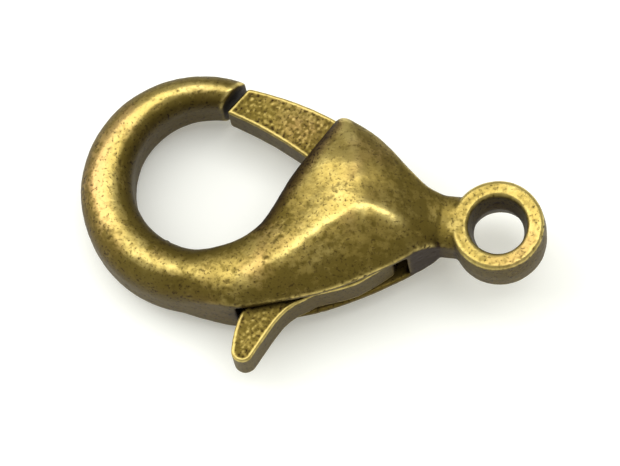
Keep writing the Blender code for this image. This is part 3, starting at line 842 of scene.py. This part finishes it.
def antique_brass(name, olive_share, pit_film, pit_dark, base_rough):
    """Plated, dipped and rubbed brass over a casting."""
    finish, tree, shader, where = new_metal(name)
    at = readings(tree, where)
    film_and_painted_light = olive_film_and_painted_light(tree, at, olive_share, pit_film)
    dip_and_shade = dip_and_painted_shade(tree, at, pit_dark)
    worn = built_up(tree, 0.0, [("ADD", at["wear"], WORN_BARE)])
    colour = bare_brass(tree, at)
    # the film and the black carry painted shade on slopes, steep walls and the nook, and less film
    # is painted light on the crown and in patches
    for share, layer in ((film_and_painted_light, OLIVE_PATINA_AND_SHADE), (dip_and_shade, BLACK_DIP), (worn, RUBBED_BRASS)):
        colour = add(tree, "ShaderNodeMix", share, colour, layer, data_type="RGBA")
    tree.links.new(colour, shader.inputs["Base Color"])
    covered = built_up(tree, film_and_painted_light, [("ADD", dip_and_shade, 1.0)])
    rough = add(tree, "ShaderNodeMapRange", covered, 0.0, 1.0, base_rough, FILM_ROUGH)
    tree.links.new(rough, shader.inputs["Roughness"])
    relief = add(tree, "ShaderNodeBump", FLECK_STRENGTH, FLECK_RELIEF, BUMP_FILTER, at["fleck"])
    tree.links.new(relief, shader.inputs["Normal"])
    return finish


body_finish = antique_brass("antique_brass_tumbled", olive_share=0.6, pit_film=0.3,
                            pit_dark=0.4, base_rough=0.28)
lever_finish = antique_brass("antique_brass_as_cast", olive_share=0.7, pit_film=0.86,
                             pit_dark=0.12, base_rough=0.42)
print("nodes in the body's finish", len(body_finish.node_tree.nodes))

# %% [markdown]
# ## Plated spring steel
# The strip and the rivet went through the same bath. Steel takes the plating thinly, so
# they look grey-brown with a fine grain from drawing, and dark where they lie in grease.
# %% Plated spring steel
STAIN, STAINED = 0.4, (0.40, 0.70)
DRAWN_GRAIN = 0.06
STEEL_ROUGH = 0.38
DRAWN_STRENGTH = 0.2
DRAWN_RELIEF = 0.006 * MM


def plated_steel(name):
    """Thinly plated, oiled steel."""
    finish, tree, shader, where = new_metal(name)
    stain = add(tree, "ShaderNodeTexNoise", where, 1 / (STAIN * MM), 4, GRAIN)
    stain = add(tree, "ShaderNodeMapRange", stain, *STAINED)
    colour = add(tree, "ShaderNodeMix", stain, DARK_STEEL, BLACK_DIP, data_type="RGBA")
    tree.links.new(colour, shader.inputs["Base Color"])
    shader.inputs["Roughness"].default_value = STEEL_ROUGH
    drawn = add(tree, "ShaderNodeTexNoise", where, 1 / (DRAWN_GRAIN * MM), 2, GRAIN)
    relief = add(tree, "ShaderNodeBump", DRAWN_STRENGTH, DRAWN_RELIEF, BUMP_FILTER, drawn)
    tree.links.new(relief, shader.inputs["Normal"])
    return finish


steel_finish = plated_steel("spring_steel_plated")
print("nodes in the steel's finish", len(steel_finish.node_tree.nodes))

# %% [markdown]
# ## Each piece gets its finish
# The finish goes on the dressed piece. The rivet is hidden in its blind bores, so its solid
# stays as it is and only takes the steel.
# %% Each piece gets its finish
for piece, finish, slot in ((body_casting, body_finish, "cast_body"),
                            (lever_casting, lever_finish, "cast_lever"),
                            (spring_strip, steel_finish, "steel")):
    piece.data.materials.clear()
    piece.data.materials.append(finish)
    print(piece.name, "is", finish.name)
for pin_slot in frame["nodes"]["pivot_pin"].material_slots:
    pin_slot.material = steel_finish

# %% [markdown]
# ## The white card
# The clasp lies on white card that also glows a little, as on a light table. That keeps
# the card nearly white and its shadow soft, and it lights the side walls from below.
# %% The white card
CARD_HALF = 0.6
CARD_BELOW = 0.01 * MM
CARD_WHITE = linear("F6F7F1")
CARD_SETTINGS = (("Base Color", CARD_WHITE), ("Roughness", 0.7), ("Specular IOR Level", 0.2),
                 ("Emission Color", CARD_WHITE), ("Emission Strength", 0.16))
bpy.ops.object.select_all(action="DESELECT")
bpy.ops.mesh.primitive_plane_add(size=2 * CARD_HALF, location=(0, 0, -CARD_BELOW))
card = bpy.context.active_object
card.name = "white_card"
card_finish = bpy.data.materials.new("white_card_matt")
card_finish.use_nodes = True
card_shader = card_finish.node_tree.nodes["Principled BSDF"]
for socket, value in CARD_SETTINGS:
    card_shader.inputs[socket].default_value = value
card.data.materials.append(card_finish)
print("card, m", [round(side, 2) for side in card.dimensions])

# %% [markdown]
# ## Light
# A polished casting shows what is around it, so the light matters as much as the metal.
# A long soft box overhead, leaning towards the hook's side, draws the pale crest lines,
# and a dimmer white room fills in the flanks. Its power follows from its size and a
# wanted brightness, so a larger box doesn't get brighter.
# %% Light
ROOM_WHITE = linear("F4F4F1")
ROOM_LIGHT = 0.68
BOX_FROM = (-0.55, 0.22, 1.0)
BOX_AWAY = 0.25
BOX_WIDTH = 0.82
BOX_DEPTH = 0.18
BOX_BRIGHTNESS = 2.6

room = bpy.data.worlds.new("dim_room")
room.use_nodes = True
room.node_tree.nodes["Background"].inputs["Color"].default_value = ROOM_WHITE
room.node_tree.nodes["Background"].inputs["Strength"].default_value = ROOM_LIGHT
bpy.context.scene.world = room
bpy.context.scene.view_settings.view_transform = "Standard"

light = bpy.data.lights.new("top_soft_box", "AREA")
light.shape = "RECTANGLE"
light.size = BOX_WIDTH
light.size_y = BOX_DEPTH
light.energy = BOX_BRIGHTNESS * math.pi * BOX_WIDTH * BOX_DEPTH
lamp = bpy.data.objects.new("top_soft_box", light)
bpy.context.scene.collection.objects.link(lamp)
away = Vector(BOX_FROM).normalized()
box_across = (Vector((1, 0, 0)) - away * away.x).normalized()
turned = Matrix((box_across, away.cross(box_across), away)).transposed().to_4x4()
lamp.matrix_world = Matrix.Translation(away * BOX_AWAY) @ turned
lamp.visible_camera = False
print("soft box, power", round(light.energy, 4))

# %% [markdown]
# ## Camera
# The photograph looks down steeply at the lying clasp, from the thumb's side, with the
# eye a little lower in the picture than the hook. A long lens keeps the clasp's
# proportions, and the clasp fills about three quarters of the width.
# %% Camera
CAMERA_TILT = math.radians(15.8)
CAMERA_SIDE = math.radians(2.7)
CAMERA_ROLL = math.radians(8.6)
LENS_MM = 360.0
FILL = 0.76
NEAREST = 0.001
FARTHEST = 10.0

low, high = (Vector(corner) for corner in cad_box)
middle = (low + high) / 2
camera_data = bpy.data.cameras.new("camera")
camera_data.lens = LENS_MM
camera_data.clip_start = NEAREST
camera_data.clip_end = FARTHEST
camera = bpy.data.objects.new("camera", camera_data)
bpy.context.scene.collection.objects.link(camera)
side, tilt = math.sin(CAMERA_SIDE), math.sin(CAMERA_TILT)
back = Vector((side, -tilt, math.sqrt(1 - side ** 2 - tilt ** 2)))
level = (Vector((1, 0, 0)) - back * back.x).normalized()
right = (level * math.cos(CAMERA_ROLL) + back.cross(level) * math.sin(CAMERA_ROLL)).normalized()
upward = back.cross(right)
distance = (high.x - low.x) / FILL * LENS_MM / camera_data.sensor_width
camera.matrix_world = (Matrix.Translation(middle + back * distance)
                       @ Matrix((right, upward, back)).transposed().to_4x4())
bpy.context.scene.camera = camera
print("camera distance, mm", round(distance / MM, 1))
